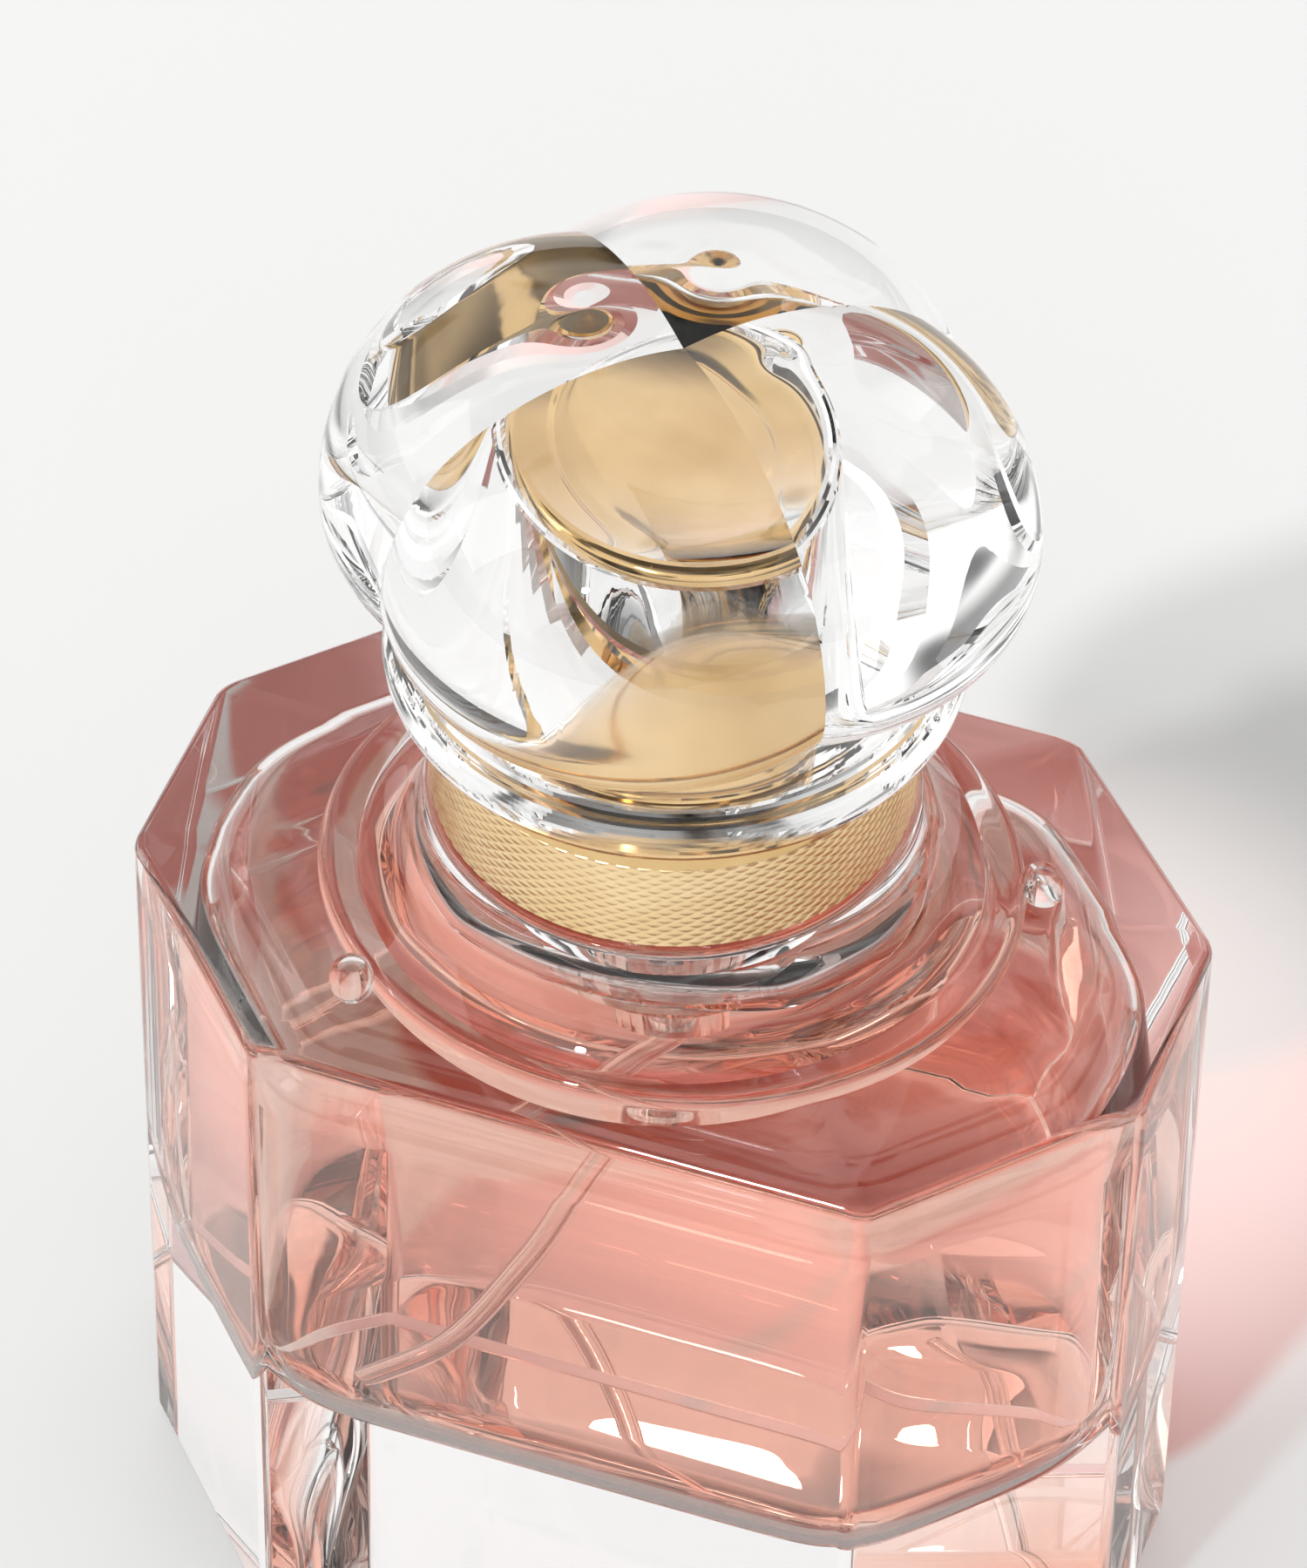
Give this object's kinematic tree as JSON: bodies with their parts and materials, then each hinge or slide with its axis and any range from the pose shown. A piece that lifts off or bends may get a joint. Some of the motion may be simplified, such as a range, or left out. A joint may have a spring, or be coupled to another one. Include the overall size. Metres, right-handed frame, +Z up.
{
  "type": "perfume bottle",
  "caption": "Octagonal clear glass perfume flacon with pink fragrance, oval raised glass disc, textured gold collar, crimped spray pump and a clear four-lobed crystal cap over a gold cup.",
  "frame": {"origin": "centre of the flacon's base, on the surface it stands on", "axes": "+Z up along the bottle's axis, +X along the wide side of the flacon, -Y out of the wide front face"},
  "size_m": [0.066, 0.0434, 0.1006],
  "materials": {
    "bottle_glass": "clear polished heavy glass",
    "perfume": "salmon pink liquid",
    "cap_crystal": "clear polished crystal",
    "satin_gold": "pale satin gold with a fine cross-cut texture and a polished lip",
    "polished_gold": "polished pale gold",
    "clear_plastic": "translucent natural plastic",
    "white_plastic": "white moulded plastic",
    "rubber": "light grey soft seal",
    "steel": "bright stainless steel",
    "aluminium": "plain drawn aluminium"
  },
  "bodies": {
    "root": {"glass_bottle": "bottle_glass", "perfume_liquid": "perfume", "dip_tube": "clear_plastic", "pump_housing": "clear_plastic", "return_spring": "steel", "stem_seal": "rubber", "closure_bush": "white_plastic", "neck_gasket": "rubber", "crimp_ferrule": "aluminium", "cap_seat": "white_plastic", "collar_ring": "satin_gold"},
    "inlet_valve": {"inlet_ball": "steel"},
    "pump_stem": {"stem": "white_plastic", "piston": "white_plastic"},
    "spray_head": {"spray_head_shell": "polished_gold", "spray_head_core": "white_plastic", "nozzle_insert": "white_plastic"},
    "cap": {"cap_crystal": "cap_crystal", "cap_sleeve": "polished_gold", "cap_liner": "white_plastic"}
  },
  "joints": [
    {"name": "cap_lift", "type": "slide", "parent": "root", "child": "cap", "axis": [0, 0, 1], "range_m": [0, 0.03]},
    {"name": "stem_stroke", "type": "slide", "parent": "root", "child": "pump_stem", "axis": [0, 0, -1], "range_m": [0, 0.0034], "stiffness_N_per_m": 900, "springref_m": -0.004, "deforming": ["return_spring"]},
    {"name": "spray_head_turn", "type": "hinge", "parent": "pump_stem", "child": "spray_head", "pos_m": [0, 0, 0.078], "axis": [0, 0, 1], "continuous": true},
    {"name": "ball_lift", "type": "slide", "parent": "root", "child": "inlet_valve", "axis": [0, 0, 1], "range_m": [0, 0.0008]}
  ]
}
